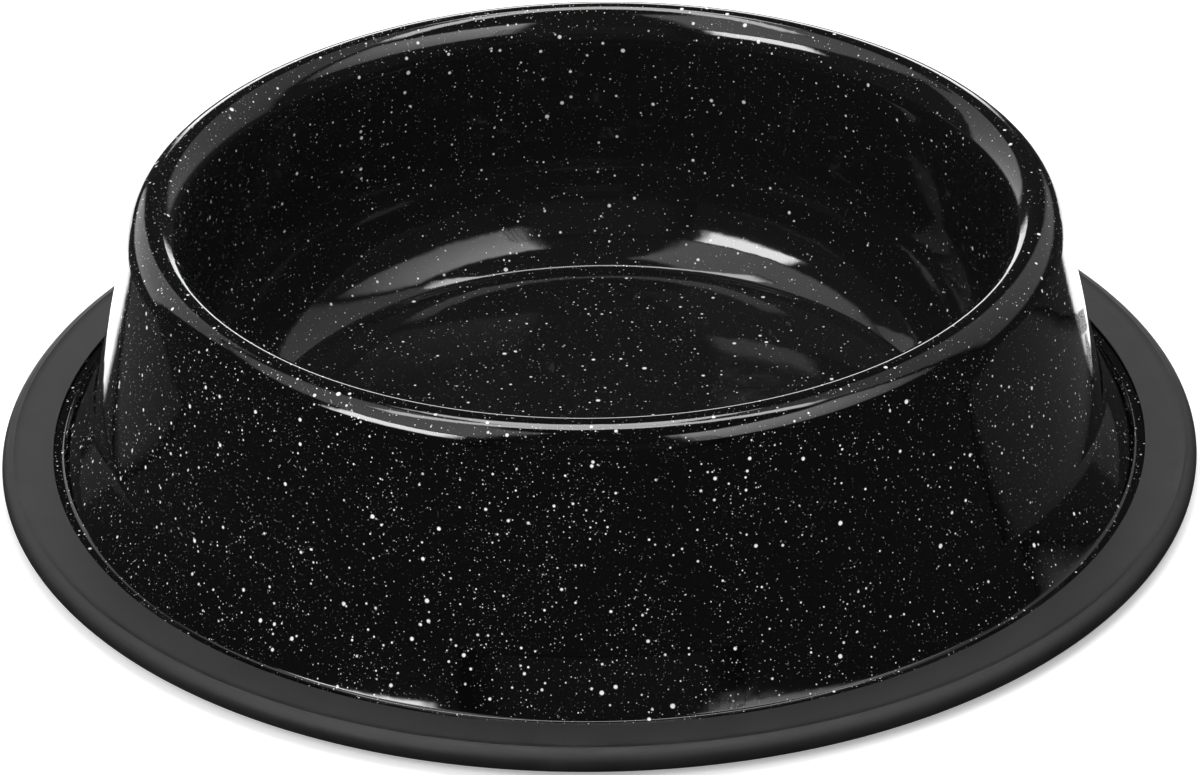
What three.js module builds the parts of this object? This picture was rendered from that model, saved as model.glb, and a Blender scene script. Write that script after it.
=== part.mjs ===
// A pet bowl that can't be tipped: a deep-drawn steel shell with a rubber ring pressed onto its foot.
// Millimetres, +Z up. The origin is on the bowl's axis, on the surface that the bowl stands on.
import * as THREE from "three";

// Steel shell, measured on its enamelled face
const SHELL_WALL = 0.9; // steel sheet with a coat of enamel on both faces
const RIM_RADIUS = 86.4; // axis to the crest of the rim
const RIM_HEIGHT = 57.3; // table to the crest of the rim
const RIM_ROUND = 6.2; // outer side of the rim
const CREST_ROUND = 2.6; // tight round on the inner side of the crest
const CREST_TURN = THREE.MathUtils.degToRad(62); // slope of the normal where that round ends
const INNER_RIM_ROUND = 8; // wider round from there into the bowl's wall
const SKIRT_DRAFT = THREE.MathUtils.degToRad(13.2);
const SKIRT_BEND = 10; // hollow arc between the skirt and the flare
const FLARE_TOP = THREE.MathUtils.degToRad(29.3); // slope of the normal at the flare's upper end
const FLARE_ROUND = 112; // the flare's slightly hollow face
const FLARE_FOOT = THREE.MathUtils.degToRad(34.7); // slope of the normal at the flare's lower end
const FLANGE_BEND = 1; // hollow arc between the flare and the flange
const FLANGE_HEIGHT = 5.1; // table to the flange's upper face
const FLANGE_FLAT = 7.3; // flat strip between the bend and the flange's edge
const BOWL_DRAFT = 0; // the bowl's wall stands upright
const WALL_ROUND = 36; // hollow arc below the bowl's wall
const WALL_TURN = THREE.MathUtils.degToRad(33); // slope of the normal where that arc ends
const BOWL_ROUND = 17; // closer hollow arc below it
const BOWL_TURN = THREE.MathUtils.degToRad(58.5); // slope of the normal where the floor's corner starts
const FLOOR_CORNER = 3; // tight hollow arc around the floor
const FLOOR_HEIGHT = 3.6; // table to the bowl's inner floor

// Rubber ring
const GROOVE_CLEARANCE = 0.2; // between the flange and the groove that grips it
const NOSE_WALL = 4.3; // rubber outside the flange's edge
const NOSE_ROUND = 2.4;
const NOSE_RISE = 0.9; // top of the nose above the flange's upper face
const NOSE_END = THREE.MathUtils.degToRad(-75); // where the nose's arc stops and the foot's flank starts
const LIP_COVER = 5.8; // how far the upper lip reaches in from the flange's edge
const LIP_THICKNESS = 0.4; // at the lip's inner edge
const FOOT_COVER = 7.2; // how far the foot reaches in from the flange's edge
const FOOT_SETBACK = 4.8; // from the nose's outermost line to the foot's outer edge
const FOOT_BEVEL = 0.6; // on the foot's inner edge

// Fineness of the solids
const TURN_SEGMENTS = 72;
const INNER_RIM_STEPS = 5;
const CREST_STEPS = 3;
const OUTER_RIM_STEPS = 5;
const BEND_STEPS = 3;
const FLARE_STEPS = 2;
const BOWL_STEPS = 4;
const LOWER_NOSE_STEPS = 3;
const UPPER_NOSE_STEPS = 4;

// Directions from an arc's centre
const OUTWARDS = 0;
const STRAIGHT_UP = 0.5 * Math.PI;

const pointOn = (centre, radius, angle) =>
  new THREE.Vector2(
    centre.x + radius * Math.cos(angle),
    centre.y + radius * Math.sin(angle),
  );

function arc(centre, radius, from, to, steps) {
  return Array.from({ length: steps + 1 }, (_, i) =>
    pointOn(centre, radius, from + ((to - from) * i) / steps),
  );
}

// Hollow arcs, one after another, that carry a wall, leaning by its draft, down onto a level face.
// They lie towards the axis (side -1) or away from it (side +1). A turn is the slope of the normal
// where an arc ends.
function footOfWall(wallTop, draft, side, bends, level) {
  const direction = (turn) => (side > 0 ? Math.PI + turn : -turn);
  const starts = bends.map((bend, i) => (i > 0 ? bends[i - 1].turn : draft));
  const drop = bends.reduce(
    (sum, bend, i) => sum + bend.radius * (Math.sin(bend.turn) - Math.sin(starts[i])),
    0,
  );
  const fall = wallTop.y - level - drop;
  let end = new THREE.Vector2(wallTop.x + side * fall * Math.tan(draft), level + drop);
  return bends.map((bend, i) => {
    const from = direction(starts[i]);
    const to = direction(bend.turn);
    const centre = pointOn(end, -bend.radius, from);
    end = pointOn(centre, bend.radius, to);
    return { centre, radius: bend.radius, from, to, steps: bend.steps };
  });
}

// Arcs of the shell's section: x is the distance from the axis, y the height
const rimCentre = new THREE.Vector2(RIM_RADIUS, RIM_HEIGHT - RIM_ROUND);
const crestCentre = new THREE.Vector2(RIM_RADIUS, RIM_HEIGHT - CREST_ROUND);
const crestEnd = pointOn(crestCentre, CREST_ROUND, Math.PI - CREST_TURN);
const innerRimCentre = pointOn(crestEnd, -INNER_RIM_ROUND, Math.PI - CREST_TURN);
const flareBends = [
  { radius: SKIRT_BEND, turn: FLARE_TOP, steps: BEND_STEPS },
  { radius: FLARE_ROUND, turn: FLARE_FOOT, steps: FLARE_STEPS },
  { radius: FLANGE_BEND, turn: STRAIGHT_UP, steps: BEND_STEPS },
];
const bowlBends = [
  { radius: WALL_ROUND, turn: WALL_TURN, steps: BOWL_STEPS },
  { radius: BOWL_ROUND, turn: BOWL_TURN, steps: BEND_STEPS },
  { radius: FLOOR_CORNER, turn: STRAIGHT_UP, steps: BEND_STEPS },
];
const skirtTop = pointOn(rimCentre, RIM_ROUND, SKIRT_DRAFT);
const wallTop = pointOn(innerRimCentre, INNER_RIM_ROUND, Math.PI - BOWL_DRAFT);
const flareArcs = footOfWall(skirtTop, SKIRT_DRAFT, 1, flareBends, FLANGE_HEIGHT);
const bowlArcs = footOfWall(wallTop, BOWL_DRAFT, -1, bowlBends, FLOOR_HEIGHT);
const flangeRadius = flareArcs.at(-1).centre.x + FLANGE_FLAT;

// One face of a foot's arcs, from the wall to the level face, at that depth in the sheet
function footFace(arcs, depth) {
  return arcs.flatMap(({ centre, radius, from, to, steps }, i) =>
    arc(centre, radius + depth, from, to, steps).slice(i > 0 ? 1 : 0),
  );
}

// One face of the rim's inner side, from the bowl's wall up to the crest, at that depth in the sheet
function innerRim(depth) {
  const wallEnd = Math.PI - BOWL_DRAFT;
  const join = Math.PI - CREST_TURN;
  return [
    ...arc(innerRimCentre, INNER_RIM_ROUND - depth, wallEnd, join, INNER_RIM_STEPS),
    ...arc(crestCentre, CREST_ROUND - depth, join, STRAIGHT_UP, CREST_STEPS).slice(1),
  ];
}

// One face of the sheet, from the bowl's axis over the rim to the flange's edge.
// The depth is 0 on the enamelled face, and the sheet's thickness on the hidden one.
function shellFace(depth) {
  return [
    new THREE.Vector2(0, FLOOR_HEIGHT - depth),
    ...footFace(bowlArcs, depth).reverse(),
    ...innerRim(depth),
    ...arc(rimCentre, RIM_ROUND - depth, STRAIGHT_UP, SKIRT_DRAFT, OUTER_RIM_STEPS).slice(1),
    ...footFace(flareArcs, depth),
    new THREE.Vector2(flangeRadius, FLANGE_HEIGHT - depth),
  ];
}

function shellSection() {
  return [...shellFace(SHELL_WALL), ...shellFace(0).reverse()];
}

function ringSection() {
  const ringRadius = flangeRadius + GROOVE_CLEARANCE + NOSE_WALL;
  const noseCentre = new THREE.Vector2(
    ringRadius - NOSE_ROUND,
    FLANGE_HEIGHT + NOSE_RISE - NOSE_ROUND,
  );
  const lipRadius = flangeRadius - LIP_COVER;
  const footRadius = flangeRadius - FOOT_COVER;
  const grooveRadius = flangeRadius + GROOVE_CLEARANCE;
  const grooveTop = FLANGE_HEIGHT + GROOVE_CLEARANCE;
  const grooveFloor = FLANGE_HEIGHT - SHELL_WALL - GROOVE_CLEARANCE;
  const loop = [
    new THREE.Vector2(footRadius, FOOT_BEVEL),
    new THREE.Vector2(footRadius + FOOT_BEVEL, 0),
    new THREE.Vector2(ringRadius - FOOT_SETBACK, 0),
    ...arc(noseCentre, NOSE_ROUND, NOSE_END, OUTWARDS, LOWER_NOSE_STEPS),
    ...arc(noseCentre, NOSE_ROUND, OUTWARDS, STRAIGHT_UP, UPPER_NOSE_STEPS).slice(1),
    new THREE.Vector2(lipRadius, grooveTop + LIP_THICKNESS),
    new THREE.Vector2(lipRadius, grooveTop),
    new THREE.Vector2(grooveRadius, grooveTop),
    new THREE.Vector2(grooveRadius, grooveFloor),
    new THREE.Vector2(footRadius, grooveFloor),
  ];
  return [...loop, loop[0]];
}

// A lathe turns its section about Y, so the solid is tipped up to stand on +Z.
function turned(name, section, material) {
  const geometry = new THREE.LatheGeometry(section, TURN_SEGMENTS);
  geometry.rotateX(Math.PI / 2);
  const mesh = new THREE.Mesh(geometry, material);
  mesh.name = name;
  return mesh;
}

const blackEnamel = new THREE.MeshStandardMaterial({
  color: 0x0d0d0e,
  roughness: 0.06,
  metalness: 0,
});
const blackRubber = new THREE.MeshStandardMaterial({
  color: 0x1e1e1f,
  roughness: 0.75,
  metalness: 0,
});

const petBowl = new THREE.Group();
petBowl.add(turned("bowl_shell", shellSection(), blackEnamel));
petBowl.add(turned("rubber_ring", ringSection(), blackRubber));

export default petBowl;
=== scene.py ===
from math import cos, pi, radians, sin, tan

import bmesh
import bpy
from mathutils import Matrix, Vector


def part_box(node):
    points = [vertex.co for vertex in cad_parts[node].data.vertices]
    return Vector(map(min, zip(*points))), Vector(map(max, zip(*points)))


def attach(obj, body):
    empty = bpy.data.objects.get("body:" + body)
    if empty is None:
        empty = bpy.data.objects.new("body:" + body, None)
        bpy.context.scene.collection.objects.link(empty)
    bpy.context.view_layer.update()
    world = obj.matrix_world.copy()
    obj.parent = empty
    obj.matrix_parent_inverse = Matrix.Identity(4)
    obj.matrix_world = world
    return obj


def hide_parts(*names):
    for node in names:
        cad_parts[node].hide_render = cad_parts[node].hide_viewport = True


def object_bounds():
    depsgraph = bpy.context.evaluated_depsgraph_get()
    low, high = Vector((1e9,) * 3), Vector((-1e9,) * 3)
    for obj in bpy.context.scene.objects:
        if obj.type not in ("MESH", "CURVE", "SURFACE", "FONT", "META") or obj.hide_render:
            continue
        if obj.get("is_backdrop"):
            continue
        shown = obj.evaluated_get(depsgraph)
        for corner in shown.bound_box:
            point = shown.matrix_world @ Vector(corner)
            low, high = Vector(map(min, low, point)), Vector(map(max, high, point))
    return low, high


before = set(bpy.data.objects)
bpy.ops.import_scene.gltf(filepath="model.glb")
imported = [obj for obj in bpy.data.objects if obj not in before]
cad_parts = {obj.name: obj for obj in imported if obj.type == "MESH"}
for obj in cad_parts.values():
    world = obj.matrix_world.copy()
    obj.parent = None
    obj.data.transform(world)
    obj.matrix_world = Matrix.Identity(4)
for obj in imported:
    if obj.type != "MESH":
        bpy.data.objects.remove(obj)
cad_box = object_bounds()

# Bowl shell: one sheet of steel, deep drawn into the bowl and turned back over its rim into a skirt
# that slopes and then flares out to a flat foot flange. It is hollow underneath.
# Glossy black enamel with white speckles is fused onto both of its faces.
_, shell_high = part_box("bowl_shell")
sheet_thickness = 0.0009
rim_radius = 0.0864
rim_height = shell_high.z
rim_round = 0.0062
crest_round = 0.0026
crest_turn = radians(62)
inner_rim_round = 0.008
skirt_slope = radians(13.2)
skirt_bend = 0.010
flare_top = radians(29.3)
flare_round = 0.112
flare_foot = radians(34.7)
flange_bend = 0.001
flange_height = 0.0051
flange_radius = shell_high.x
bowl_slope = 0
wall_round = 0.036
wall_turn = radians(33)
bowl_round = 0.017
bowl_turn = radians(58.5)
floor_corner = 0.003
floor_height = 0.0036
straight_up = pi / 2

# Steps along each stretch of the shell's section, and around the bowl
inner_rim_steps = 20
crest_steps = 14
outer_rim_steps = 28
bend_steps = 8
flare_steps = 10
wall_steps = 16
bowl_steps = 12
corner_steps = 10
straight_steps = 12
flange_steps = 4
turn_steps = 288
sharp_corner = radians(40)


def point_on(centre, radius, angle):
    """The point of a section that lies on an arc, at that angle up from the outward direction."""
    return Vector((centre.x + radius * cos(angle), centre.y + radius * sin(angle)))


def arc(centre, radius, start, end, steps):
    """Evenly spaced points along an arc of a section."""
    return [point_on(centre, radius, start + (end - start) * i / steps) for i in range(steps + 1)]


def between(start, end, steps):
    """Evenly spaced points along a straight stretch of a section, without its ends."""
    return [start.lerp(end, i / steps) for i in range(1, steps)]


def foot_of_wall(wall_top, slope, side, bends, level):
    """Hollow arcs that carry a sloping wall down onto a level face: side -1 is inwards, +1 outwards.

    Each bend is a radius, the slope of the normal where its arc ends, and a number of steps."""
    starts = [slope] + [turn for _, turn, _ in bends]
    drop = sum(radius * (sin(turn) - sin(start)) for (radius, turn, _), start in zip(bends, starts))
    fall = wall_top.y - level - drop
    end = Vector((wall_top.x + side * fall * tan(slope), level + drop))
    arcs = []
    for (radius, turn, steps), start in zip(bends, starts):
        angles = [pi + angle if side > 0 else -angle for angle in (start, turn)]
        centre = point_on(end, -radius, angles[0])
        end = point_on(centre, radius, angles[1])
        arcs.append((centre, radius, *angles, steps))
    return arcs


rim_centre = Vector((rim_radius, rim_height - rim_round))
crest_centre = Vector((rim_radius, rim_height - crest_round))
crest_end = point_on(crest_centre, crest_round, pi - crest_turn)
inner_rim_centre = point_on(crest_end, -inner_rim_round, pi - crest_turn)
skirt_top = point_on(rim_centre, rim_round, skirt_slope)
wall_top = point_on(inner_rim_centre, inner_rim_round, pi - bowl_slope)
flare_bends = [
    (skirt_bend, flare_top, bend_steps),
    (flare_round, flare_foot, flare_steps),
    (flange_bend, straight_up, bend_steps),
]
flare_arcs = foot_of_wall(skirt_top, skirt_slope, 1, flare_bends, flange_height)
bowl_bends = [
    (wall_round, wall_turn, wall_steps),
    (bowl_round, bowl_turn, bowl_steps),
    (floor_corner, straight_up, corner_steps),
]
bowl_arcs = foot_of_wall(wall_top, bowl_slope, -1, bowl_bends, floor_height)


def foot_face(arcs, depth):
    """One face of a wall's foot, from the wall to the level face, at that depth in the sheet."""
    points = []
    for centre, radius, start, end, steps in arcs:
        points += arc(centre, radius + depth, start, end, steps)[1 if points else 0:]
    return points


def rim_face(depth):
    """One face of the rim, from the bowl's wall over the crest to the skirt, at that depth in the sheet."""
    wall_end = pi - bowl_slope
    join = pi - crest_turn
    return [
        *arc(inner_rim_centre, inner_rim_round - depth, wall_end, join, inner_rim_steps),
        *arc(crest_centre, crest_round - depth, join, straight_up, crest_steps)[1:],
        *arc(rim_centre, rim_round - depth, straight_up, skirt_slope, outer_rim_steps)[1:],
    ]


def shell_face(depth):
    """One face of the sheet, from the bowl's axis over the rim to the flange's edge, at that depth."""
    axis = Vector((0, floor_height - depth))
    bowl_foot = foot_face(bowl_arcs, depth)[::-1]
    rim = rim_face(depth)
    flare = foot_face(flare_arcs, depth)
    flange_edge = Vector((flange_radius, flange_height - depth))
    return [
        axis,
        *between(axis, bowl_foot[0], straight_steps),
        *bowl_foot,
        *between(bowl_foot[-1], rim[0], straight_steps),
        *rim,
        *between(rim[-1], flare[0], straight_steps),
        *flare,
        *between(flare[-1], flange_edge, flange_steps),
        flange_edge,
    ]


def turned_piece(name, section, closed):
    """Turns a section of (radius, height) points about the bowl's axis, smooth between its corners."""
    vertices = []
    rings = []
    for point in section:
        copies = turn_steps if point.x > 0 else 1
        rings.append([len(vertices) + i for i in range(copies)])
        for i in range(copies):
            turn = 2 * pi * i / copies
            vertices.append((point.x * cos(turn), point.x * sin(turn), point.y))
    faces = []
    for lower, upper in zip(rings, rings[1:] + rings[:1] if closed else rings[1:]):
        for i in range(turn_steps):
            corners = [lower[i % len(lower)], lower[(i + 1) % len(lower)]]
            corners += [upper[(i + 1) % len(upper)], upper[i % len(upper)]]
            faces.append(list(dict.fromkeys(corners)))
    mesh = bpy.data.meshes.new(name)
    mesh.from_pydata(vertices, [], faces)
    shaper = bmesh.new()
    shaper.from_mesh(mesh)
    bmesh.ops.recalc_face_normals(shaper, faces=shaper.faces)
    shaper.to_mesh(mesh)
    shaper.free()
    mesh.shade_smooth()
    mesh.set_sharp_from_angle(angle=sharp_corner)
    piece = bpy.data.objects.new(name, mesh)
    bpy.context.scene.collection.objects.link(piece)
    return piece


def add_node(tree, kind, inputs=None, **settings):
    """Adds a shader node, with its settings and its inputs: a value is set, and a socket is linked."""
    node = tree.nodes.new(kind)
    for setting, value in settings.items():
        setattr(node, setting, value)
    for name, value in (inputs or {}).items():
        if isinstance(value, bpy.types.NodeSocket):
            tree.links.new(value, node.inputs[name])
        else:
            node.inputs[name].default_value = value
    return node


def new_material(name):
    """A material with an empty node tree and its output."""
    material = bpy.data.materials.new(name)
    material.use_nodes = True
    material.node_tree.nodes.clear()
    output = add_node(material.node_tree, "ShaderNodeOutputMaterial")
    return material, material.node_tree, output


def calculate(tree, operation, *values):
    """The result of one sum on values or sockets."""
    return add_node(tree, "ShaderNodeMath", dict(enumerate(values)), operation=operation).outputs[0]


def remap(tree, value, start, end, low, high):
    """A socket's value, carried in a straight line from the span start to end onto low to high."""
    inputs = {"Value": value, "From Min": start, "From Max": end, "To Min": low, "To Max": high}
    return add_node(tree, "ShaderNodeMapRange", inputs).outputs[0]


def noise(tree, place, scale, detail):
    """Soft blotches, from 0 to 1, of that scale per metre."""
    inputs = {"Vector": place, "Scale": scale, "Detail": detail}
    return add_node(tree, "ShaderNodeTexNoise", inputs).outputs["Fac"]


def blend(tree, factor, first, second):
    """A colour that runs from the first to the second as the factor rises from 0 to 1."""
    inputs = {"Factor": factor, 6: first, 7: second}
    return add_node(tree, "ShaderNodeMix", inputs, data_type="RGBA").outputs[2]


def coat(tree, output, colour, roughness, height, strength, distance):
    """Finishes a material with a colour, a roughness and a relief, whose height reaches that distance."""
    bump = {"Height": height, "Strength": strength, "Distance": distance}
    relief = add_node(tree, "ShaderNodeBump", bump).outputs["Normal"]
    inputs = {"Base Color": colour, "Roughness": roughness, "IOR": 1.5, "Normal": relief}
    shader = add_node(tree, "ShaderNodeBsdfPrincipled", inputs)
    tree.links.new(shader.outputs["BSDF"], output.inputs["Surface"])


def speckle_layer(tree, place, crowding, spacing, size, share, dimmest):
    """How white the enamel is from one size of speckle: dots of up to that radius, at that spacing.

    The share is how many of the places hold a dot, before the crowding. Most dots are faint."""
    largest = size / spacing
    cells = add_node(tree, "ShaderNodeTexVoronoi", {"Vector": place, "Scale": 1 / spacing})
    chance = add_node(tree, "ShaderNodeSeparateColor", {"Color": cells.outputs["Color"]})
    radius = remap(tree, chance.outputs["Red"], start=0, end=1, low=0.45 * largest, high=largest)
    inside = calculate(tree, "SUBTRACT", radius, cells.outputs["Distance"])
    dot = remap(tree, inside, start=0, end=0.3 * largest, low=0, high=1)
    limit = calculate(tree, "MULTIPLY", crowding, share)
    present = calculate(tree, "LESS_THAN", chance.outputs["Green"], limit)
    evenly_spread = remap(tree, chance.outputs["Blue"], start=0, end=1, low=dimmest, high=1)
    strength = calculate(tree, "POWER", evenly_spread, 3)
    return calculate(tree, "MULTIPLY", calculate(tree, "MULTIPLY", dot, present), strength)


# The enamel's speckles and its black change between the bowl's wall and the outer side of the rim: inside
# the bowl the black is lifted to a dark grey, a painted reflection standing in for light that the bowl's
# glossy walls mirror.
bowl_edge = 0.080
skirt_edge = 0.088
bowl_crowding = 0.6
bowl_black_painted_reflection = 0.0075
skirt_black = 0.0018
speckle_white = (0.84, 0.84, 0.82, 1)


def speckled_enamel():
    """Gloss black enamel with five sizes of white speckle, which thin out to the right and in the bowl.
    Inside the bowl its black is greyer, a painted reflection.
    """
    material, tree, output = new_material("speckled_black_enamel")
    place = add_node(tree, "ShaderNodeTexCoord").outputs["Object"]
    x, y, _ = add_node(tree, "ShaderNodeSeparateXYZ", {"Vector": place}).outputs
    squares = calculate(tree, "MULTIPLY_ADD", x, x, calculate(tree, "MULTIPLY", y, y))
    axis_distance = calculate(tree, "SQRT", squares)
    on_skirt = remap(tree, axis_distance, bowl_edge, skirt_edge, low=bowl_crowding, high=1)
    to_right = remap(tree, x, start=0, end=0.08, low=1, high=0.55)
    clumps = remap(tree, noise(tree, place, 90, 2), start=0.3, end=0.7, low=0.55, high=1.3)
    crowding = calculate(tree, "MULTIPLY", on_skirt, calculate(tree, "MULTIPLY", to_right, clumps))
    layers = [
        speckle_layer(tree, place, crowding, spacing=0.00042, size=0.00006, share=0.95, dimmest=0.25),
        speckle_layer(tree, place, crowding, spacing=0.00058, size=0.00009, share=0.85, dimmest=0.55),
        speckle_layer(tree, place, crowding, spacing=0.00093, size=0.00017, share=0.8, dimmest=0.75),
        speckle_layer(tree, place, crowding, spacing=0.0015, size=0.00029, share=0.55, dimmest=0.9),
        speckle_layer(tree, place, crowding, spacing=0.0032, size=0.00052, share=0.8, dimmest=0.97),
    ]
    white = layers[0]
    for layer in layers[1:]:
        white = calculate(tree, "MAXIMUM", white, layer)
    # Painted reflection: the black is greyer inside the bowl than on the skirt, standing in for light
    # mirrored by the bowl's walls
    black = remap(tree, axis_distance, bowl_edge, skirt_edge, low=bowl_black_painted_reflection, high=skirt_black)
    colour = blend(tree, white, black, speckle_white)
    ripple = noise(tree, place, 160, 2)
    coat(tree, output, colour, roughness=0.06, height=ripple, strength=0.5, distance=0.00009)
    return material


shell_section = shell_face(sheet_thickness) + shell_face(0)[::-1]
shell = turned_piece("enamelled_shell", shell_section, closed=False)
shell.data.materials.append(speckled_enamel())
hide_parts("bowl_shell")
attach(shell, "root")

# Rubber ring: one moulded ring of soft black rubber, stretched over the flange so that its groove grips
# the edge. A thin lip lies on the flange, a fine ridge runs around the top of the nose, and the flat foot
# grips the floor.
_, ring_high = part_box("rubber_ring")
groove_clearance = 0.0002
ring_radius = ring_high.x
nose_round = 0.0024
nose_top = ring_high.z
nose_start = radians(-75)
nose_end = radians(82)
nose_steps = 24
ridge_round = 0.00028
ridge_height = 0.00014
ridge_start = radians(40)
ridge_end = radians(140)
ridge_steps = 6
lip_cover = 0.0058
lip_thickness = 0.0004
lip_steps = 6
foot_cover = 0.0072
foot_setback = 0.0048
foot_bevel = 0.0006
clean_rubber = (0.003, 0.003, 0.003, 1)
dusty_rubber = (0.010, 0.010, 0.010, 1)


def ring_section():
    """The ring's section, from the foot's inner edge round the nose and over the lip into the groove."""
    nose_centre = Vector((ring_radius - nose_round, nose_top - ridge_height - nose_round))
    ridge_centre = Vector((nose_centre.x, nose_top - ridge_round))
    lip_radius = flange_radius - lip_cover
    foot_radius = flange_radius - foot_cover
    groove_radius = flange_radius + groove_clearance
    groove_top = flange_height + groove_clearance
    groove_floor = flange_height - sheet_thickness - groove_clearance
    top_edge = Vector((ridge_centre.x - ridge_round, nose_top - ridge_height))
    lip_edge = Vector((lip_radius, groove_top + lip_thickness))
    return [
        Vector((foot_radius, foot_bevel)),
        Vector((foot_radius + foot_bevel, 0)),
        Vector((ring_radius - foot_setback, 0)),
        *arc(nose_centre, nose_round, nose_start, nose_end, nose_steps),
        *arc(ridge_centre, ridge_round, ridge_start, ridge_end, ridge_steps),
        *between(top_edge, lip_edge, lip_steps),
        lip_edge,
        Vector((lip_radius, groove_top)),
        Vector((groove_radius, groove_top)),
        Vector((groove_radius, groove_floor)),
        Vector((foot_radius, groove_floor)),
    ]


def matte_rubber():
    """Moulded black rubber: matte and finely grained, a little greyer where dust clings to it."""
    material, tree, output = new_material("matte_black_rubber")
    place = add_node(tree, "ShaderNodeTexCoord").outputs["Object"]
    dust = noise(tree, place, 120, 4)
    colour = blend(tree, dust, clean_rubber, dusty_rubber)
    roughness = remap(tree, dust, start=0, end=1, low=0.5, high=0.7)
    grain = noise(tree, place, 2200, 3)
    coat(tree, output, colour, roughness, height=grain, strength=0.6, distance=0.00006)
    return material


ring = turned_piece("anti_skid_ring", ring_section(), closed=True)
ring.data.materials.append(matte_rubber())
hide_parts("rubber_ring")
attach(ring, "root")

# Studio: the bowl stands on a plain white floor under even soft light. The gloss mirrors a darker room:
# a white sweep that starts beside the bowl and runs back, a hot lamp in front on the left, soft boxes on
# both sides, a lamp and pale walls behind, and a strip lamp overhead.
floor_size = 6.0
floor_paint = (0.9, 0.9, 0.9, 1)
floor_lift = 0.3


def stage_card(name, vertices, faces, material):
    """A card of the stage, of those faces."""
    mesh = bpy.data.meshes.new(name)
    mesh.from_pydata(vertices, [], faces)
    mesh.materials.append(material)
    card = bpy.data.objects.new(name, mesh)
    bpy.context.scene.collection.objects.link(card)
    card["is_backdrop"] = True
    return card


def white_floor():
    """Matte white, lifted a little for the camera, so that the lit floor is white and its shadow stays."""
    material, tree, output = new_material("white_floor")
    paint = add_node(tree, "ShaderNodeBsdfDiffuse", {"Color": floor_paint})
    seen = add_node(tree, "ShaderNodeLightPath").outputs["Is Camera Ray"]
    strength = calculate(tree, "MULTIPLY", seen, floor_lift)
    lift = add_node(tree, "ShaderNodeEmission", {"Strength": strength})
    both = add_node(tree, "ShaderNodeAddShader", {0: paint.outputs[0], 1: lift.outputs[0]})
    tree.links.new(both.outputs[0], output.inputs["Surface"])
    return material


half = floor_size / 2
floor_corners = [(-half, -half, 0), (half, -half, 0), (half, half, 0), (-half, half, 0)]
floor = stage_card("studio_floor", floor_corners, [(0, 1, 2, 3)], white_floor())
floor.visible_glossy = False

# What the gloss mirrors
room_radius = 3.0
sweep_height = 0.0002
strip_height = 2.5
strip_half_length = 1.3
strip_near = 0.25
strip_width = 0.38
strip_bow = 0.30
patch_columns = 40
patch_rows = 24
mirrored_twice = 0.35


def glow_material():
    """Light of the radiance stored in a card's points, dimmed where the gloss mirrors it twice."""
    material, tree, output = new_material("mirrored_light")
    radiance = add_node(tree, "ShaderNodeAttribute", attribute_name="radiance").outputs["Fac"]
    bounces = add_node(tree, "ShaderNodeLightPath").outputs["Ray Depth"]
    dimming = remap(tree, bounces, start=1, end=2, low=1, high=mirrored_twice)
    strength = calculate(tree, "MULTIPLY", radiance, dimming)
    glow = add_node(tree, "ShaderNodeEmission", {"Strength": strength})
    tree.links.new(glow.outputs[0], output.inputs["Surface"])
    return material


mirrored_light = glow_material()


def mirrored_card(name, vertices, faces, radiance):
    """A glowing card that only the gloss sees. It adds no light to the floor or to the colours."""
    card = stage_card(name, vertices, faces, mirrored_light)
    points = card.data.attributes.new("radiance", "FLOAT", "POINT")
    points.data.foreach_set("value", radiance)
    card.visible_camera = False
    card.visible_diffuse = False
    card.visible_transmission = False
    card.visible_shadow = False
    return card


def soft_edge(part, softness):
    """1 along the middle of a span and 0 at its ends, easing over that share of it at each end."""
    rise = min(1, part / softness, (1 - part) / softness)
    return rise * rise * (3 - 2 * rise)


def even(radiance):
    """The same radiance at a patch's four corners."""
    return (radiance,) * 4


def glow_patch(name, place, corners, softness):
    """A patch of light with soft edges, whose points place(u, v) lays out, for u and v from 0 to 1.

    Its radiance runs evenly between the corners: low start, low end, high start, high end."""
    vertices = []
    radiance = []
    for row in range(patch_rows + 1):
        for column in range(patch_columns + 1):
            u, v = column / patch_columns, row / patch_rows
            vertices.append(place(u, v))
            low = corners[0] + (corners[1] - corners[0]) * u
            high = corners[2] + (corners[3] - corners[2]) * u
            edge = soft_edge(u, softness) * soft_edge(v, softness)
            radiance.append((low + (high - low) * v) * edge)
    stride = patch_columns + 1
    starts = [row * stride + column for row in range(patch_rows) for column in range(patch_columns)]
    faces = [(start, start + 1, start + stride + 1, start + stride) for start in starts]
    return mirrored_card(name, vertices, faces, radiance)


def sky_patch(name, azimuths, elevations, corners, softness):
    """A patch of the room around the bowl, between two azimuths and two elevations in degrees.

    Azimuth 0 is behind the bowl, and 90 is on its right."""
    def place(u, v):
        azimuth = radians(azimuths[0] + (azimuths[1] - azimuths[0]) * u)
        elevation = radians(elevations[0] + (elevations[1] - elevations[0]) * v)
        level = room_radius * cos(elevation)
        return (level * sin(azimuth), level * cos(azimuth), room_radius * sin(elevation))

    return glow_patch(name, place, corners, softness)


def level_patch(name, near, far, corners, softness):
    """A patch just over the floor, between a near and a far edge, each given as its two ends."""
    def place(u, v):
        near_spot = Vector(near[0]).lerp(Vector(near[1]), u)
        far_spot = Vector(far[0]).lerp(Vector(far[1]), u)
        return (*near_spot.lerp(far_spot, v), sweep_height)

    return glow_patch(name, place, corners, softness)


def overhead_strip(u, v):
    """A place on a level strip high over the bowl, whose ends bow towards the camera."""
    across = 2 * u - 1
    back = strip_near + strip_width * v - strip_bow * across * across
    return (strip_half_length * across, back, strip_height)


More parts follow.
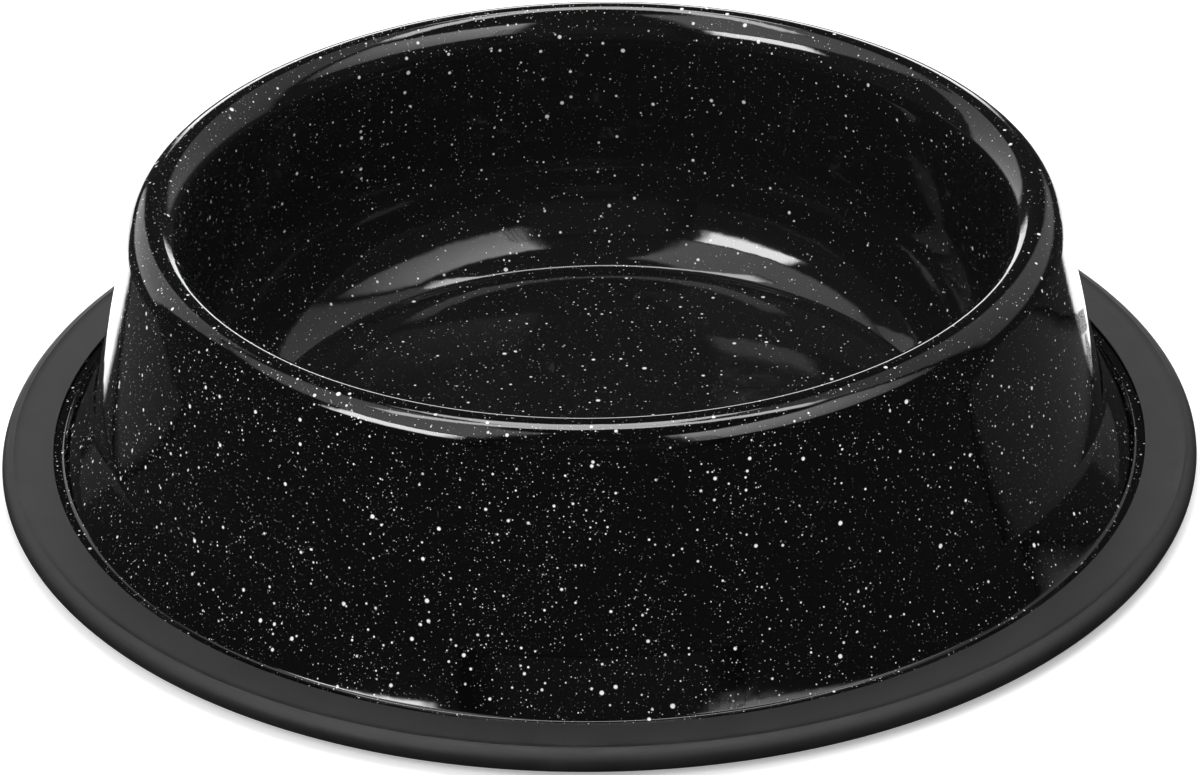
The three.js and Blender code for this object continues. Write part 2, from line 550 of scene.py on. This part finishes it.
sky_patch("hot_lamp_left", (-146, -107), (31, 47), even(18), 0.15)
sky_patch("soft_box_left", (-152, -38), (43, 80), (1.8, 0.9, 1.8, 1.3), 0.08)
sky_patch("wall_behind_left", (-58, -24), (2, 48), (1.3, 2.0, 0.7, 0.6), 0.08)
sky_patch("wall_behind", (-19, 17), (2, 14), even(4.5), 0.1)
sky_patch("wall_behind_right", (22, 84), (6, 74), (0.8, 0.4, 0.5, 0.9), 0.1)
sky_patch("soft_box_right", (84, 160), (30.5, 61), (0.4, 3.0, 2.2, 6.0), 0.09)
sky_patch("room_in_front", (150, 210), (14, 46), even(0.08), 0.2)
sky_patch("lamp_behind", (-34, 26), (60, 80), even(9), 0.12)
glow_patch("strip_lamp_overhead", overhead_strip, even(10), 0.1)
level_patch(
    "white_sweep",
    near=[(-0.122, 0.022), (0.122, 0.022)],
    far=[(-0.300, 0.350), (0.300, 0.350)],
    corners=even(2.6),
    softness=0.02,
)
level_patch(
    "grey_floor_left",
    near=[(-0.230, -0.010), (-0.123, -0.010)],
    far=[(-0.230, 0.095), (-0.160, 0.095)],
    corners=even(0.12),
    softness=0.1,
)
level_patch(
    "grey_floor_right",
    near=[(0.118, -0.060), (0.300, -0.060)],
    far=[(0.118, 0.060), (0.300, 0.060)],
    corners=even(0.12),
    softness=0.1,
)


def soft_lamp(name, place, width, height, power):
    """A flat soft lamp that hangs over the floor and points at the bowl. The gloss doesn't mirror it."""
    data = bpy.data.lights.new(name, "AREA")
    data.shape = "RECTANGLE"
    data.size = width
    data.size_y = height
    data.energy = power
    lamp = bpy.data.objects.new(name, data)
    lamp.location = place
    lamp.rotation_euler = (-Vector(place)).to_track_quat("-Z", "Y").to_euler()
    lamp.visible_glossy = False
    bpy.context.scene.collection.objects.link(lamp)
    return lamp


soft_lamp("key_lamp", (-1.2, -1.6, 2.0), width=1.6, height=1.2, power=28)
soft_lamp("top_lamp", (0.2, 0.6, 2.4), width=2.0, height=1.6, power=30)

# The camera sees a white backdrop, the gloss a dark room, and everything else an even light
world = bpy.data.worlds.new("white_studio")
world.use_nodes = True
bpy.context.scene.world = world
sky = world.node_tree
sky.nodes.clear()
rays = add_node(sky, "ShaderNodeLightPath")
even_light = add_node(sky, "ShaderNodeBackground", {"Color": (0.75, 0.75, 0.75, 1)})
dark_room = add_node(sky, "ShaderNodeBackground", {"Color": (0.05, 0.05, 0.05, 1)})
backdrop = add_node(sky, "ShaderNodeBackground", {"Color": (1, 1, 1, 1)})
mirrored = add_node(
    sky,
    "ShaderNodeMixShader",
    {0: rays.outputs["Is Glossy Ray"], 1: even_light.outputs[0], 2: dark_room.outputs[0]},
)
seen = add_node(
    sky,
    "ShaderNodeMixShader",
    {0: rays.outputs["Is Camera Ray"], 1: mirrored.outputs[0], 2: backdrop.outputs[0]},
)
sky_output = add_node(sky, "ShaderNodeOutputWorld")
sky.links.new(seen.outputs[0], sky_output.inputs["Surface"])
bpy.context.scene.view_settings.view_transform = "Standard"

# Camera: a long lens about a metre away, looking down at the bowl by some 30 degrees.
# It leans by about one degree, as the photo does.
camera_place = Vector((0.00036, -0.95912, 0.56809))
camera_pitch = radians(30.009)
camera_lean = radians(0.966)
camera_data = bpy.data.cameras.new("photo_camera")
camera_data.sensor_width = 36
camera_data.lens = 165.52
camera = bpy.data.objects.new("photo_camera", camera_data)
turn = Matrix.Rotation(pi / 2 - camera_pitch, 4, "X") @ Matrix.Rotation(-camera_lean, 4, "Z")
camera.matrix_world = Matrix.Translation(camera_place) @ turn
bpy.context.scene.collection.objects.link(camera)
bpy.context.scene.camera = camera

boxes = {"cad": cad_box, "visual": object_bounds()}
{name: [list(corner) for corner in box] for name, box in boxes.items()}
